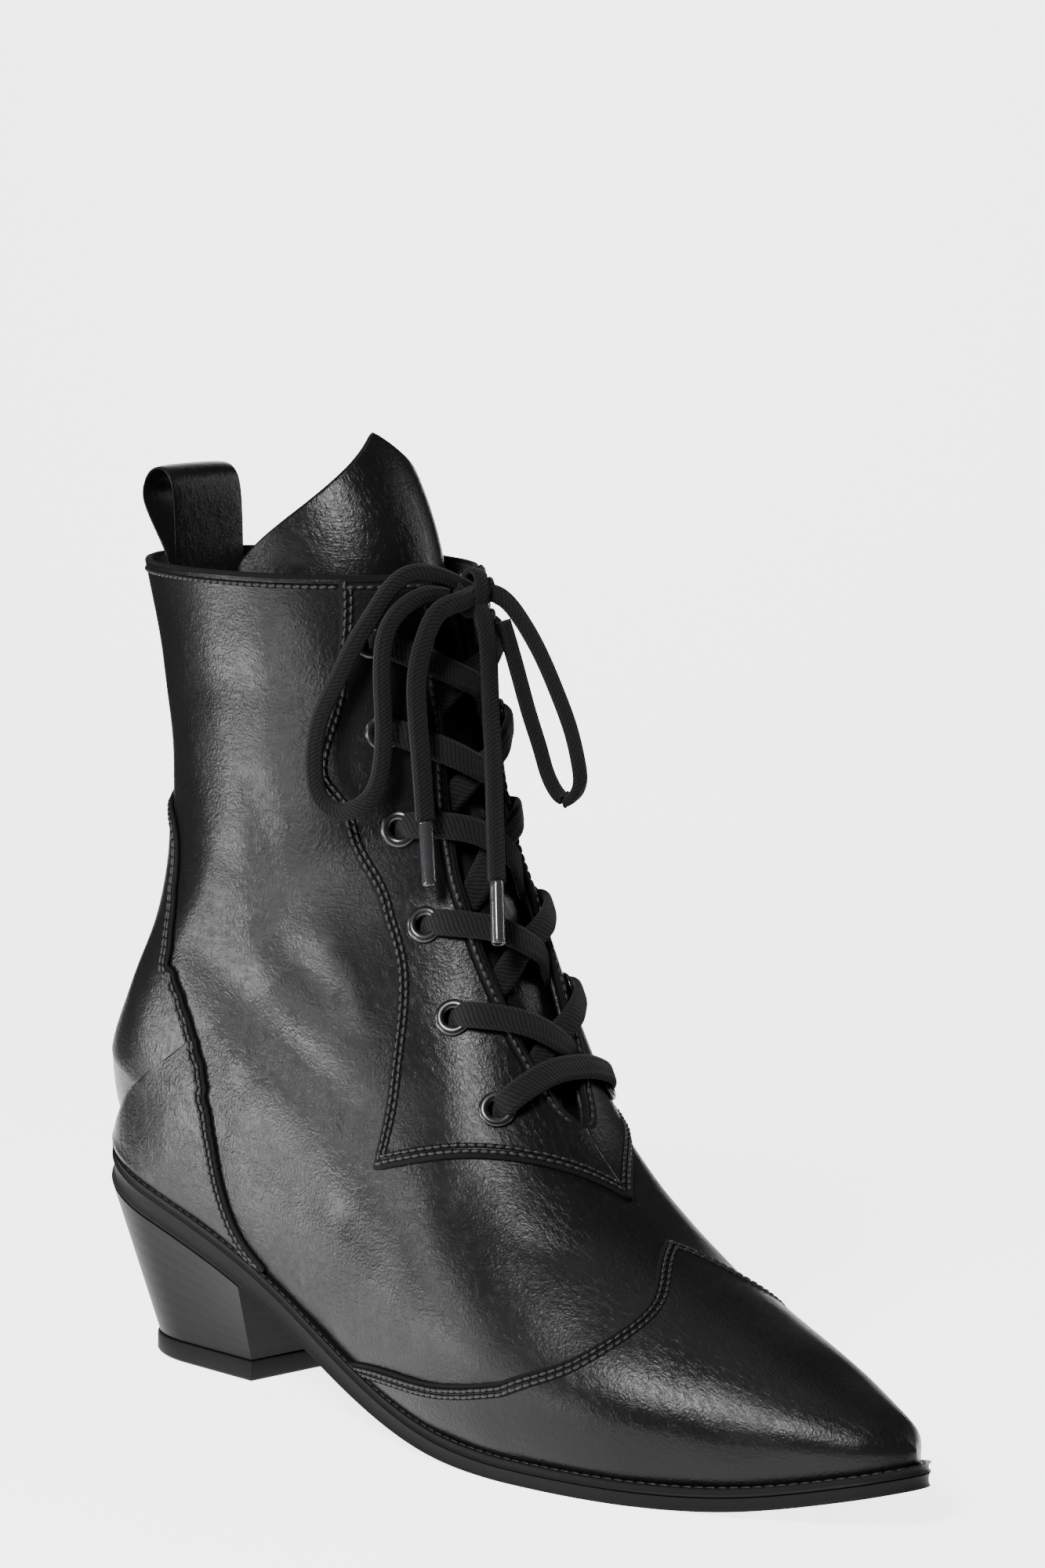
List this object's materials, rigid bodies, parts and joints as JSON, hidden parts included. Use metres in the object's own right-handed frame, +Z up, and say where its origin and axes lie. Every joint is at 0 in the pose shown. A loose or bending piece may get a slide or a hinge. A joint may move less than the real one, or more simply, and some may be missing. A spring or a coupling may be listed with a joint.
{
  "type": "lace up ankle boot",
  "caption": "Right ankle boot with pointed toe, stacked block heel, laced front with a bow, high tongue and back pull loop.",
  "frame": {"origin": "on the floor, under the middle of the boot's length and width, its lace bow left out", "axes": "-Y points to the toe, +Y to the heel, +X to the medial (big toe) side, +Z up"},
  "size_m": [0.0912, 0.2896, 0.2579],
  "materials": {
    "leather_black": "semi-gloss, finely wrinkled",
    "lining_black": "matte lining cloth",
    "rubber_black": "matte",
    "heel_stack": "matte, faint stacked lines",
    "eyelet_black": "glossy black",
    "lace_cotton": "matte woven cotton",
    "aglet_clear": "clear, glossy"
  },
  "bodies": {
    "root": {"upper": "leather_black", "toe_cap": "leather_black", "heel_counter": "leather_black", "eyestay_lateral": "leather_black", "eyestay_medial": "leather_black", "tongue": "leather_black", "pull_loop": "leather_black", "insole": "lining_black", "welt": "rubber_black", "outsole": "rubber_black", "heel_top_piece": "rubber_black", "heel_block": "heel_stack", "eyelet_lateral_1": "eyelet_black", "eyelet_lateral_2": "eyelet_black", "eyelet_lateral_3": "eyelet_black", "eyelet_lateral_4": "eyelet_black", "eyelet_lateral_5": "eyelet_black", "eyelet_lateral_6": "eyelet_black", "eyelet_medial_1": "eyelet_black", "eyelet_medial_2": "eyelet_black", "eyelet_medial_3": "eyelet_black", "eyelet_medial_4": "eyelet_black", "eyelet_medial_5": "eyelet_black", "eyelet_medial_6": "eyelet_black", "lace_bar_1": "lace_cotton", "lace_cross_2": "lace_cotton", "lace_cross_3": "lace_cotton", "lace_cross_4": "lace_cotton", "lace_cross_5": "lace_cotton", "lace_cross_6": "lace_cotton", "lace_knot": "lace_cotton", "lace_loop_lateral": "lace_cotton", "lace_loop_medial": "lace_cotton", "lace_end_lateral": "lace_cotton", "lace_end_medial": "lace_cotton", "aglet_lateral": "aglet_clear", "aglet_medial": "aglet_clear"}
  },
  "joints": []
}
